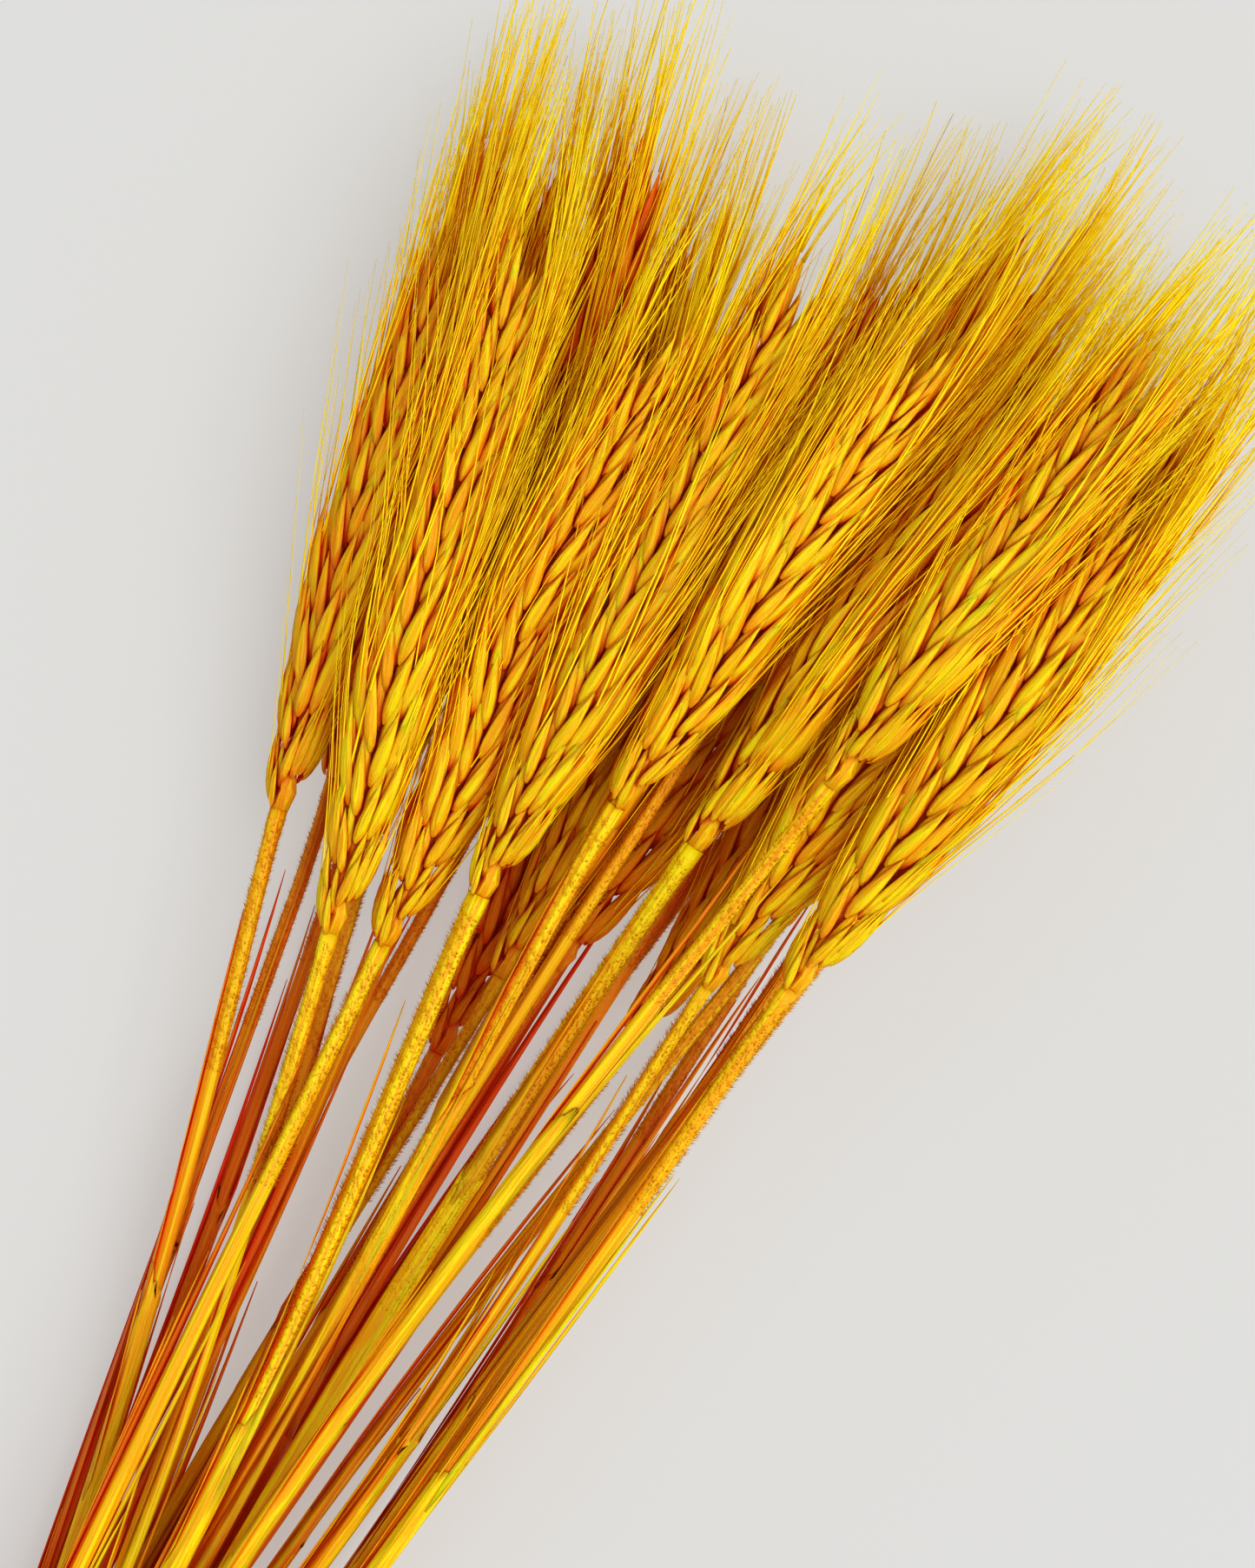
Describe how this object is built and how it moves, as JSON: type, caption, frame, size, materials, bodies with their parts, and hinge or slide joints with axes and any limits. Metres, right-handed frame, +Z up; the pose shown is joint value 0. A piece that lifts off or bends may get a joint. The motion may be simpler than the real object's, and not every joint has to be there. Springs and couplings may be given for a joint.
{
  "type": "bundle of dried wheat",
  "caption": "Tied bundle of dried bearded wheat, dyed yellow, lying down: straight stems fanning out from the tie to long bristly ears.",
  "frame": {"origin": "on the surface that the bundle lies on, under the middle of its bounding box", "axes": "+Y runs from the cut ends of the stems to the tips of the ears, +X is across the fan, +Z is up from the surface"},
  "size_m": [0.1316, 0.474, 0.0524],
  "materials": {
    "straw": "dyed dry straw, satin, faint lengthwise ribs, hairy just under the ear",
    "husk": "dyed papery husks and awns, satin, slightly see-through at the edges",
    "twine": "natural jute twine, matte and hairy"
  },
  "bodies": {
    "root": {"stem_01": "straw", "ear_01": "husk", "stem_02": "straw", "ear_02": "husk", "stem_03": "straw", "ear_03": "husk", "stem_04": "straw", "ear_04": "husk", "stem_05": "straw", "ear_05": "husk", "stem_06": "straw", "ear_06": "husk", "stem_07": "straw", "ear_07": "husk", "stem_08": "straw", "ear_08": "husk", "stem_09": "straw", "ear_09": "husk", "stem_10": "straw", "ear_10": "husk", "stem_11": "straw", "ear_11": "husk", "stem_12": "straw", "ear_12": "husk", "stem_13": "straw", "ear_13": "husk", "stem_14": "straw", "ear_14": "husk", "stem_15": "straw", "ear_15": "husk", "stem_16": "straw", "ear_16": "husk", "stem_17": "straw", "ear_17": "husk", "stem_18": "straw", "ear_18": "husk", "stem_19": "straw", "ear_19": "husk", "stem_20": "straw", "ear_20": "husk", "stem_21": "straw", "ear_21": "husk", "stem_22": "straw", "ear_22": "husk", "stem_23": "straw", "ear_23": "husk", "stem_24": "straw", "ear_24": "husk", "stem_25": "straw", "ear_25": "husk", "stem_26": "straw", "ear_26": "husk", "stem_27": "straw", "ear_27": "husk", "stem_28": "straw", "ear_28": "husk", "tie": "twine"}
  },
  "joints": []
}
